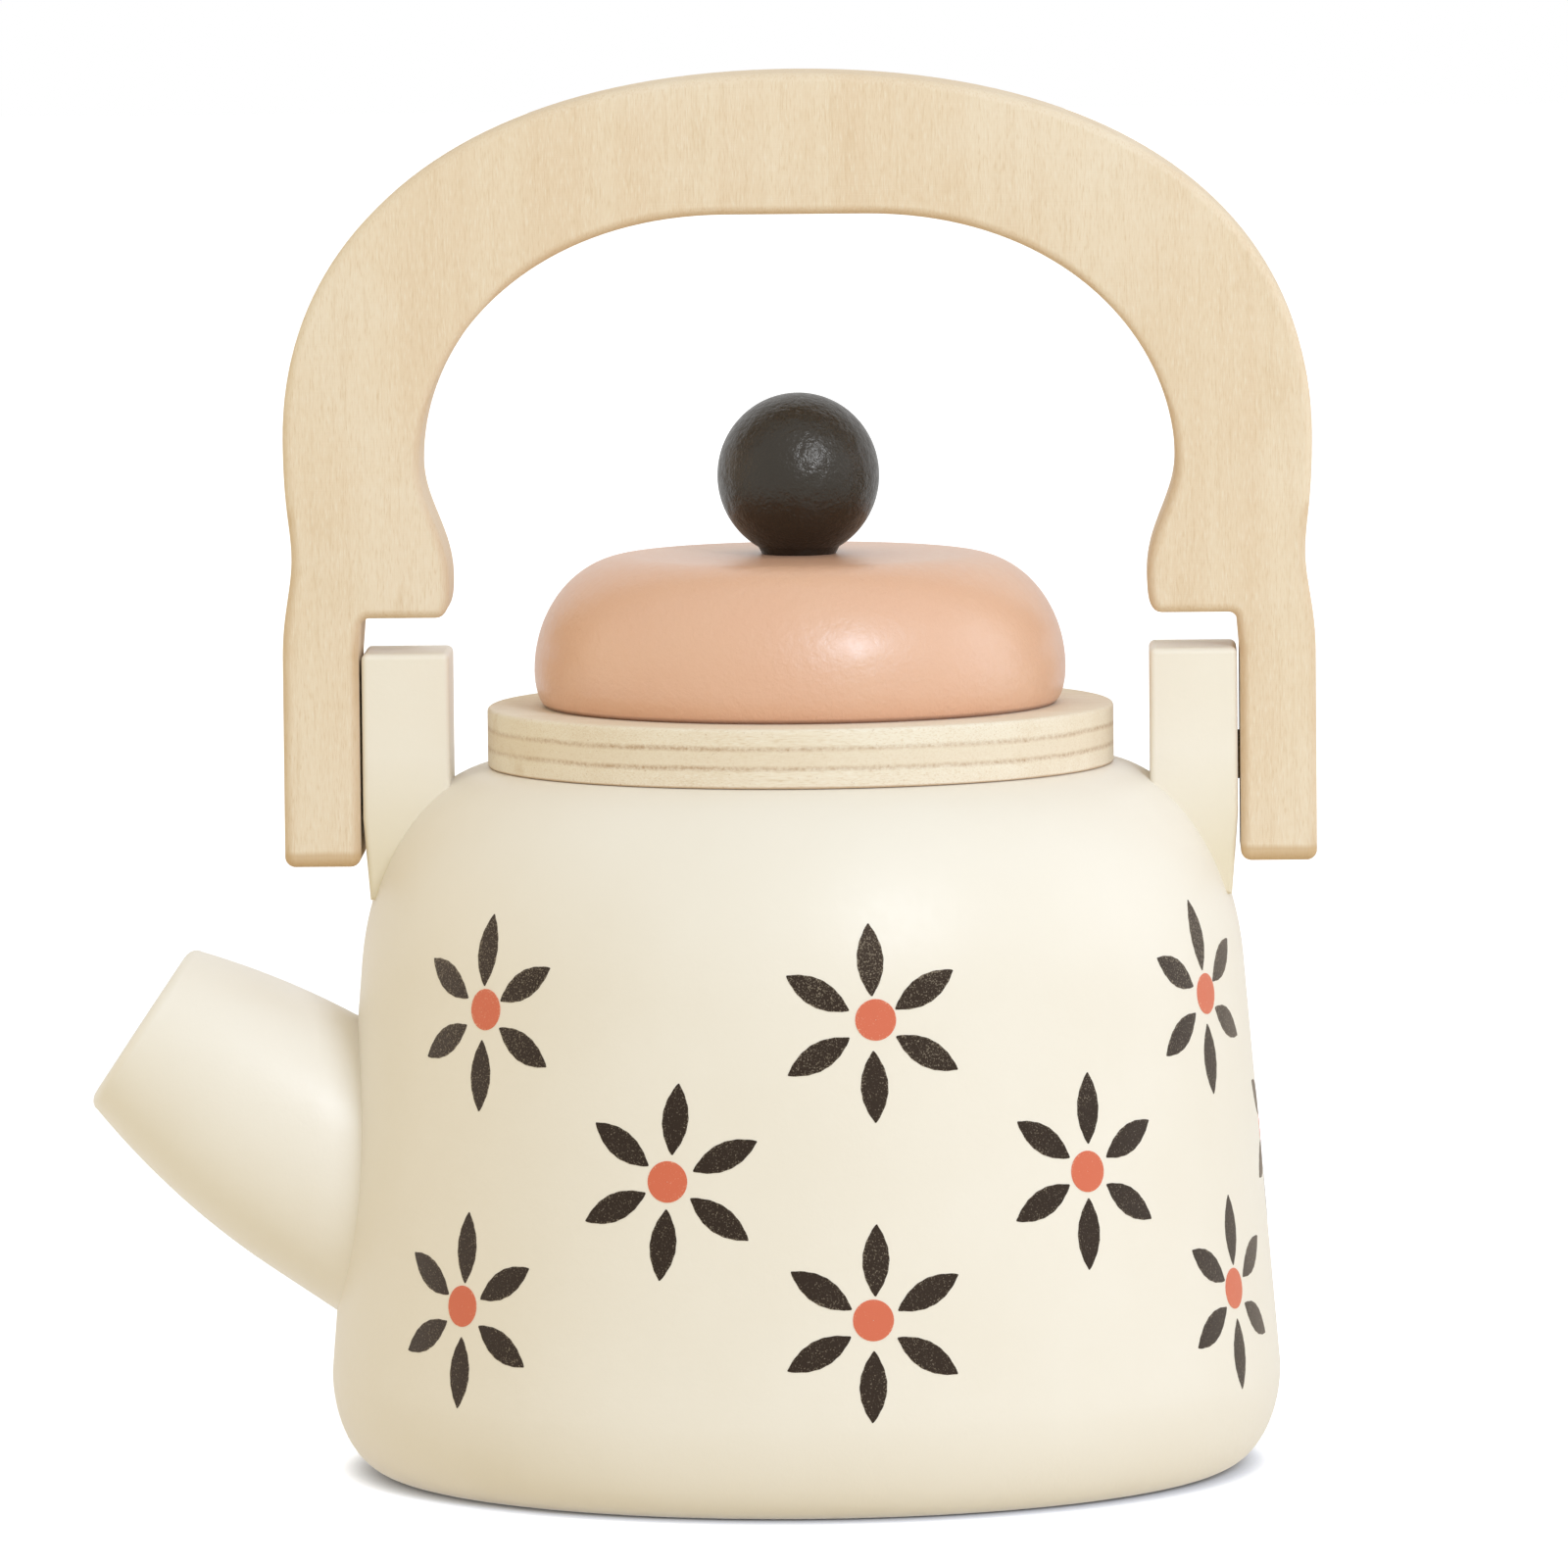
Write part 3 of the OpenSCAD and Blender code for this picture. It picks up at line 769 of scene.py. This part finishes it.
# %% [markdown]
# ## Boards with rounded arrises
#
# The handle and the two posts are boards cut to an outline. What makes them look like
# wood that has been sanded, and not like stamped plastic, is the rounding along their
# arrises. Here the outline is moved inwards ring by ring while the ring moves out to
# the face: with the angle a from 0 to 90 degrees and the rounding's radius q, a ring
# lies q(1 - cos a) inside the outline, at q(1 - sin a) behind the face.

# %% Moving an outline inwards
def moved_in(outline, distance):
    """The closed outline (x, z), each point moved by distance to its inside, along the
    mitre between the normals of its two edges."""
    before, after = np.roll(outline, 1, 0), np.roll(outline, -1, 0)
    n_in, n_out = (
        np.c_[-edge[:, 1], edge[:, 0]] / np.linalg.norm(edge, axis=1)[:, None]
        for edge in (outline - before, after - outline)
    )
    mitre = (n_in + n_out) / (1 + np.sum(n_in * n_out, 1))[:, None]
    return outline + mitre * distance


def counter_clockwise(outline):
    """The outline in the order that has its inside on the left."""
    x, z = outline.T
    area = np.sum(x * np.roll(z, -1) - np.roll(x, -1) * z)
    return outline if area > 0 else outline[::-1]


def ladder_areas(outline):
    """Areas of the two triangles of each quad of a ladder. All are above 0 if it fills
    the outline without a fold."""
    k, count = np.arange(len(outline) // 2 - 1), len(outline)
    a, b, c, d = (outline[i] for i in (k, k + 1, count - 2 - k, count - 1 - k))

    def area(p, q, r):
        """Half the cross product of two edges."""
        (ax, az), (bx, bz) = (q - p).T, (r - p).T
        return (ax * bz - bx * az) / 2

    return joined(area(a, b, c), area(a, c, d))


# %% A board from an outline
def board(outline, thickness, arris, steps):
    """Rings of the outline through the thickness along y, with both arrises rounded by
    the radius arris, and the two flat faces. A face is a ladder of quads: point k of the
    outline's first half is joined with point -1 - k, which lies across from it, so the
    two halves hold the same number. It also gives each point's place on an arris: 1 in
    its middle, 0 on the flat sides."""
    least = ladder_areas(moved_in(outline, arris)).min()
    print("least triangle of the board's face:", round(float(least), 4), "mm2")
    rings, arris_mark, count = [], [], len(outline)

    def add_ring(flat, y, mark):
        """A ring at the depth y, with one mark for all its points."""
        rings.append(np.c_[flat[:, 0], np.full(count, y), flat[:, 1]])
        arris_mark.append(np.full(count, mark))

    for a in np.radians(np.linspace(90, 0, steps)):
        flat = moved_in(outline, arris * (1 - np.cos(a)))
        add_ring(flat, arris * (1 - np.sin(a)) - thickness / 2, np.sin(2 * a))
    for share in np.linspace(0, 1, 7)[1:-1]:
        add_ring(outline, (arris - thickness / 2) * (1 - 2 * share), 0.0)
    for k in range(steps - 1, -1, -1):
        rings.append(rings[k] * [1, -1, 1])
        arris_mark.append(arris_mark[k])
    points = joined(*rings)
    quads = grid_quads(len(rings), count, loop_columns=True)
    k = np.arange(count // 2 - 1)
    ladder = np.stack([k, k + 1, count - 2 - k, count - 1 - k], -1)
    back = (len(rings) - 1) * count + ladder
    return points, [joined(quads, ladder[:, ::-1], back)], joined(*arris_mark)


# %% [markdown]
# ## The posts
#
# Two painted blocks are let into the shoulder and carry the handle. Seen from the front
# each is a tall rectangle with small rounded corners, and its outer side draws in a
# little at the foot, where it follows the body.

# %% Make the posts
POST_IN, POST_W, POST_D, ROUND, POST_ARRIS = 42.7, 10.7, 14.0, 0.8, 0.75
POST_TOP, POST_FOOT = BODY_H + 14.2, BODY_H - 16.0
out, high, full = POST_IN + POST_W, POST_TOP - ROUND, POST_FOOT + 10
front_of_post = joined(
    [[out - ROUND, POST_FOOT]],
    straight((out - ROUND, POST_FOOT), (out, full), 3),
    [[out, full]],
    straight((out, full), (out, high), 8),
    quarter((out - ROUND, high), ROUND, ROUND, 0, 90, 8),
    quarter((POST_IN + ROUND, high), ROUND, ROUND, 90, 180, 8),
    straight((POST_IN, high), (POST_IN, POST_FOOT), 12),
    [[POST_IN, POST_FOOT]],
)
for side, sign in (("left", -1), ("right", 1)):
    outline = counter_clockwise(front_of_post * [sign, 1])
    points, faces, _ = board(outline, POST_D, POST_ARRIS, 6)
    make_piece(
        f"post_block_{side}", points, faces, "pot", [post_paint],
        "post_paint", [f"post_{side}"],
    )

# %% [markdown]
# ## The bow handle
#
# The handle is one board of 15 mm birch plywood. Its outline is drawn once, from the
# top round to a leg, with cubic curves that start and end along X or Z, and mirrored.
# The rounding of its arrises is also written into the mesh as arris_wear_and_shade, so
# that the
# finish can be darker there: hardly on the outer side of the arch, more on the other
# arrises, more again beside the posts as painted shade of the crevice there, and most
# of all at the legs' ends, where the sander has gone over end grain.

# %% Curves of the outline
def cubic(p0, p1, p2, p3, shares):
    """Cubic curve from p0, heading for p1, to p3, coming from p2, at these shares."""
    t = np.asarray(shares)[:, None]
    p0, p1, p2, p3 = map(np.asarray, (p0, p1, p2, p3))
    early = (1 - t) ** 3 * p0 + 3 * (1 - t) ** 2 * t * p1
    return early + 3 * (1 - t) * t**2 * p2 + t**3 * p3


def bend(a, b, full, shares):
    """Leaves a along X and reaches b along Z."""
    p1 = (a[0] + full[0] * (b[0] - a[0]), a[1])
    return cubic(a, p1, (b[0], b[1] + full[1] * (a[1] - b[1])), b, shares)


def wave(a, b, full, shares):
    """Leaves a and reaches b along Z, like half a wave."""
    p1 = (a[0], a[1] + full[0] * (b[1] - a[1]))
    return cubic(a, p1, (b[0], b[1] + full[1] * (a[1] - b[1])), b, shares)


# %% The handle's outline
def even(count):
    """Even shares of a way, from 0 to 1."""
    return np.linspace(0, 1, count)


RISE, LEG_IN, LEG_ROUND, NOTCH, LEG_FLARE = 84.0, 53.7, 1.3, 17.9, 13.02
NUB_ROUND, NOTCH_ROUND, HANDLE_ARRIS = 1.8, 1.3, 1.2


def handle_outline():
    """Distances from the middle and heights above the pivot: up the left side of the
    bow, over it and down, and back along its inner side. Both sides have the same runs
    of points, so that the ladder's rungs lie across the wood. Where the inner side runs
    level along the notch, the outer one stays above it."""
    uneven = joined(even(17) / 2, 0.5 + even(9)[1:] / 2)
    top, shoulder, waist = (0, RISE), (62.7, 39.65), (61.8, 25.28)
    flare, nub, bow = (LEG_OUT, LEG_FLARE), (42.5, 22.18), (46.0, 36.54)
    arch_top = (8.5, RISE - 17.2)
    low, post_level = LEG_ROUND - LEG_DOWN, NOTCH - 4.6
    outer = joined(
        bend(top, shoulder, (0.649, 0.586), even(46)),
        wave(shoulder, waist, (0.6, 0.26), even(22))[1:],
        wave(waist, flare, (0.31, 0.45), uneven)[1:],
        straight(flare, (LEG_OUT, low), 14),
        quarter((LEG_OUT - LEG_ROUND, low), LEG_ROUND, LEG_ROUND, 0, -90, 10),
    )
    inner = joined(
        [(0, arch_top[1])],
        straight((0, arch_top[1]), arch_top, 5),
        bend(arch_top, bow, (0.628, 0.505), even(40)),
        wave(bow, nub, (0.36, 0.41), even(22))[1:],
        bend((nub[0] + NUB_ROUND, NOTCH), nub, (0.9, 0.5), even(10))[::-1][1:],
        straight((nub[0] + NUB_ROUND, NOTCH), (LEG_IN - NOTCH_ROUND, NOTCH), 6),
        quarter((LEG_IN - NOTCH_ROUND, NOTCH - 1), 1, 1, 90, 0, 8),
        [(LEG_IN, post_level)],
        straight((LEG_IN, post_level), (LEG_IN, low), 14),
        quarter((LEG_IN + LEG_ROUND, low), LEG_ROUND, LEG_ROUND, -180, -90, 10),
    )
    print("points of the handle's two sides:", len(outer), len(inner))
    return joined(outer[:0:-1] * [-1, 1], outer, inner[:0:-1], inner * [-1, 1])


# %% Make the handle
outline = counter_clockwise(handle_outline() + [0, PIVOT_Z])
points, faces, arris_mark = board(outline, HANDLE_T, HANDLE_ARRIS, 8)
across, up = np.abs(points[:, 0]), points[:, 2]
# half-width, half-height and middle of an ellipse that parts the arch's two sides
SPLIT_W, SPLIT_H, SPLIT_Z, ARCH_FROM = 52.5, 62.0, 100.0, 118.0
# How dark the arrises get; beside the posts this is painted shade of the crevice.
DARKER_OUTSIDE, DARKER_INSIDE, SHADE_BY_POST = 0.04, 0.45, 0.85
outer_side = (across / SPLIT_W) ** 2 + ((up - SPLIT_Z) / SPLIT_H) ** 2 > 1
by_post = (across < 57) & (up < PIVOT_Z + 14)
arris_darkening = np.where(by_post, SHADE_BY_POST, DARKER_INSIDE)
arris_darkening = np.where(outer_side & (up > ARCH_FROM), DARKER_OUTSIDE, arris_darkening)
low_end = np.clip((PIVOT_Z - LEG_DOWN + 4 - up) / 4, 0, 1)
arris_mark *= arris_darkening + (1 - arris_darkening) * low_end
make_piece(
    "bow_handle", points, faces, "handle", [handle_wood], "handle_plywood", ["handle"],
    marks=("arris_wear_and_shade", arris_mark),
)

# %% [markdown]
# ## Pins and dowels
#
# The pivots are beech pins, glued in the legs and free in the posts. Sanded by hand, an
# end is never quite flat, so each pin is turned again with a crowned outer end that
# stands 0.1 mm proud. The other dowels are sealed inside, and keep their CAD shape with
# a beech finish.

# %% Make the pins
dowel_wood = bare_wood(
    "beech dowel", srgb(214, 180, 134), srgb(186, 146, 100),
    ring=900.0, stretch=(0.08, 1, 1),
)
pin_in, pin_out = 45.2, LEG_OUT + 0.1
pin_profile = joined(
    [[0, pin_in], [PIN_R - 0.4, pin_in], [PIN_R, pin_in + 0.4]],
    straight((PIN_R, pin_in + 0.4), (PIN_R, pin_out - 0.35), 6),
    quarter((PIN_R - 0.3, pin_out - 0.35), 0.3, 0.25, 0, 80, 5),
    [[2.0, pin_out - 0.05], [1.0, pin_out - 0.01], [0, pin_out]],
)
for side, sign in (("left", -1), ("right", 1)):
    points, faces = turned(pin_profile, 64)
    points = np.stack([sign * points[:, 2], points[:, 1], points[:, 0] + PIVOT_Z], -1)
    make_piece(
        f"pin_{side}", points, faces, "handle", [dowel_wood],
        "dowel_wood", [f"pivot_pin_{side}"],
    )
for name in ("spout_dowel", "post_dowel_left", "post_dowel_right", "knob_dowel"):
    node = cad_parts[name]
    node.data.materials.clear()
    node.data.materials.append(dowel_wood)

# %% [markdown]
# ## The lid and its knob
#
# Both are turned. The lid has a short tight rounding at its foot and a broad one at its
# crown, and then runs flat: under the knob the satin paint mirrors the ball, which is
# why the real one shows a dark streak there. The spigot below centres it in the rim.
# The knob is a ball, a hair taller than wide, on a small foot that narrows downwards.
# Such a foot faces the lid and not the light, so it stays as dark as the real one.

# %% Make the lid
LID_R, LID_H, SPIGOT_R, SPIGOT_T, SPIGOT_ROUND = 32.5, 18.4, 26.5, 7.0, 0.6
FOOT_RUN, FOOT_RISE, CROWN_RUN = 1.7, 4.4, 12.0
CROWN_RISE = LID_H - FOOT_RISE
LID_TOP, SPIGOT_Z = RIM_Z + LID_H, RIM_Z - SPIGOT_T
low = (SPIGOT_R - SPIGOT_ROUND, SPIGOT_Z + SPIGOT_ROUND)
foot = (LID_R - FOOT_RUN, RIM_Z + FOOT_RISE)
crown = (LID_R - CROWN_RUN, RIM_Z + FOOT_RISE)
profile = joined(
    [[0, SPIGOT_Z]],
    straight((0, SPIGOT_Z), (low[0], SPIGOT_Z), 4),
    quarter(low, SPIGOT_ROUND, SPIGOT_ROUND, -90, 0, 5),
    straight((SPIGOT_R, low[1]), (SPIGOT_R, RIM_Z), 4),
    [[SPIGOT_R, RIM_Z]],
    straight((SPIGOT_R, RIM_Z), (foot[0], RIM_Z), 3),
    quarter(foot, FOOT_RUN, FOOT_RISE, -90, 0, 16),
    quarter(crown, CROWN_RUN, CROWN_RISE, 0, 90, 44)[1:],
    straight((crown[0], LID_TOP), (0, LID_TOP), 10),
    [[0, LID_TOP]],
)
points, faces = turned(profile)
make_piece("turned_lid", points, faces, "lid", [pink_paint], "lid_paint", ["lid"])

# %% Make the knob
KNOB_R, KNOB_RISE, KNOB_FOOT_R, KNOB_FOOT_H, NARROWER = 9.9, 10.1, 4.95, 0.85, 0.45
start = -np.degrees(np.arccos(KNOB_FOOT_R / KNOB_R))
KNOB_Z = LID_TOP + KNOB_FOOT_H - KNOB_RISE * np.sin(np.radians(start))
foot = (KNOB_FOOT_R - NARROWER, LID_TOP)
profile = joined(
    [[0, LID_TOP], [2.2, LID_TOP], foot],
    straight(foot, (KNOB_FOOT_R, LID_TOP + KNOB_FOOT_H), 3),
    quarter((0, KNOB_Z), KNOB_R, KNOB_RISE, start, 90, 90)[:-1],
    [[0, KNOB_Z + KNOB_RISE]],
)
points, faces = turned(profile, 192)
make_piece("ball_knob", points, faces, "lid", [charcoal_paint], "knob_paint", ["knob"])

# %% [markdown]
# ## Floor, light and camera
#
# The picture has a white ground that keeps only a thin shadow where the kettle stands.
# The floor looks plain white to the camera because a little light of its own is added
# for camera rays only. Reflections see it white, and all other rays meet a pale matt
# floor. The world is a soft warm fill, which the camera and reflections see as white.
# One compact key lamp stands 27 degrees to the right and 31 degrees up, and a weak wide
# panel lights either side: a cool one on the right, a warm one on the left.

# %% The floor
def studio_floor():
    """Pale matt floor. For camera rays it is white paper with a little own light, which
    fades where the kettle's foot closes it in: that leaves the thin contact shadow."""
    finish, add = new_finish("studio floor")
    path = add("LightPath")
    matt = add("BsdfDiffuse", {"Color": (0.86, 0.78, 0.62, 1)})[0]
    paper = add("BsdfDiffuse", {"Color": (0.46, 0.49, 0.59, 1)})[0]
    open_sky = add("AmbientOcclusion", {"Distance": 0.0035}, samples=12)["AO"]
    own = calc(add, "MULTIPLY", calc(add, "POWER", open_sky, 1.15), 0.97)
    glow = add("Emission", {"Color": (1, 1, 1, 1), "Strength": own})[0]
    white = add("AddShader", {0: paper, 1: glow})[0]
    bright = add("Emission", {"Color": (1, 1, 1, 1), "Strength": 1.0})[0]
    seen = calc(add, "ADD", path["Is Glossy Ray"], path["Is Transmission Ray"])
    soft = add("MixShader", {0: seen, 1: matt, 2: bright})[0]
    shader = add("MixShader", {0: path["Is Camera Ray"], 1: soft, 2: white})[0]
    add("OutputMaterial", {"Surface": shader})
    return finish


HALF_FLOOR = 4.0  # metres
mesh = bpy.data.meshes.new("floor")
corners = np.array([[-1, -1, 0], [1, -1, 0], [1, 1, 0], [-1, 1, 0]]) * HALF_FLOOR
mesh.from_pydata(corners.tolist(), [], [[0, 1, 2, 3]])
mesh.materials.append(studio_floor())
floor = put_in_scene("floor", mesh)

# %% The world and the lamps
FILL = (0.692, 0.652, 0.517)
world = bpy.data.worlds.new("soft room")
bpy.context.scene.world = world
world.use_nodes = True
add = emptied(world.node_tree)
path = add("LightPath")
seen = calc(add, "ADD", path["Is Camera Ray"], path["Is Glossy Ray"])
seen = calc(add, "ADD", seen, path["Is Transmission Ray"])
fill = add("Background", {"Color": (*FILL, 1)})[0]
white = add("Background", {"Color": (1, 1, 1, 1)})[0]
add("OutputWorld", {"Surface": add("MixShader", {0: seen, 1: fill, 2: white})[0]})


def aimed(place, target, roll=0.0):
    """4x4 matrix of a camera or lamp at place that looks at target, turned by roll
    round the line of sight."""
    ahead = np.asarray(target, float) - place
    ahead /= np.linalg.norm(ahead)
    right = np.cross(ahead, [0, 0, 1])
    right /= np.linalg.norm(right)
    up = np.cross(right, ahead)
    cos, sin = np.cos(roll), np.sin(roll)
    made = np.eye(4)
    made[:3] = np.c_[right * cos - up * sin, right * sin + up * cos, -ahead, place]
    return Matrix(made.tolist())


def around(target, distance, turn, height):
    """The place at distance from target, turned from the front (-Y) to the right (+X)
    and raised, both in degrees."""
    turn, height = np.radians(turn), np.radians(height)
    level = distance * np.cos(height)
    step = [level * np.sin(turn), -level * np.cos(turn), distance * np.sin(height)]
    return np.asarray(target) + step


MIDDLE = np.array([0, 0, 0.0837])  # aim of the lamps, in metres
# turn from the front to the right, height, distance, width, watts and colour
studio_lamps = {
    "key lamp": (27, 31, 1.6, 0.44, 9.9, (0.71, 0.82, 1.0)),
    "right panel": (96, 14, 1.6, 1.2, 4.4, (0.74, 0.82, 1.0)),
    "left panel": (-100, 10, 1.6, 1.2, 1.9, (1.0, 0.66, 0.36)),
}
for name, (turn, height, distance, width, watts, colour) in studio_lamps.items():
    lamp = bpy.data.lights.new(name, "AREA")
    lamp.shape, lamp.size, lamp.energy, lamp.color = "DISK", width, watts, colour
    stand = put_in_scene(name, lamp)
    stand.matrix_world = aimed(around(MIDDLE, distance, turn, height), MIDDLE)

# %% The camera
# distance and width of the view in metres, then turn, height and roll in degrees
CAMERA_FAR, VIEW_WIDTH, CAMERA_TURN, CAMERA_UP, CAMERA_ROLL = 1.8, 0.192, 1.2, 5.0, 0.54
aim = MIDDLE + [-0.0021, 0, 0]  # a little to the spout's side
camera_data = bpy.data.cameras.new("camera")
camera_data.sensor_width = 36.0
camera_data.lens = 36.0 * CAMERA_FAR / VIEW_WIDTH
camera_data.clip_end = 20.0
camera = put_in_scene("camera", camera_data)
place = around(aim, CAMERA_FAR, CAMERA_TURN, CAMERA_UP)
camera.matrix_world = aimed(place, aim, np.radians(CAMERA_ROLL))
bpy.context.scene.camera = camera
bpy.context.scene.view_settings.view_transform = "Standard"
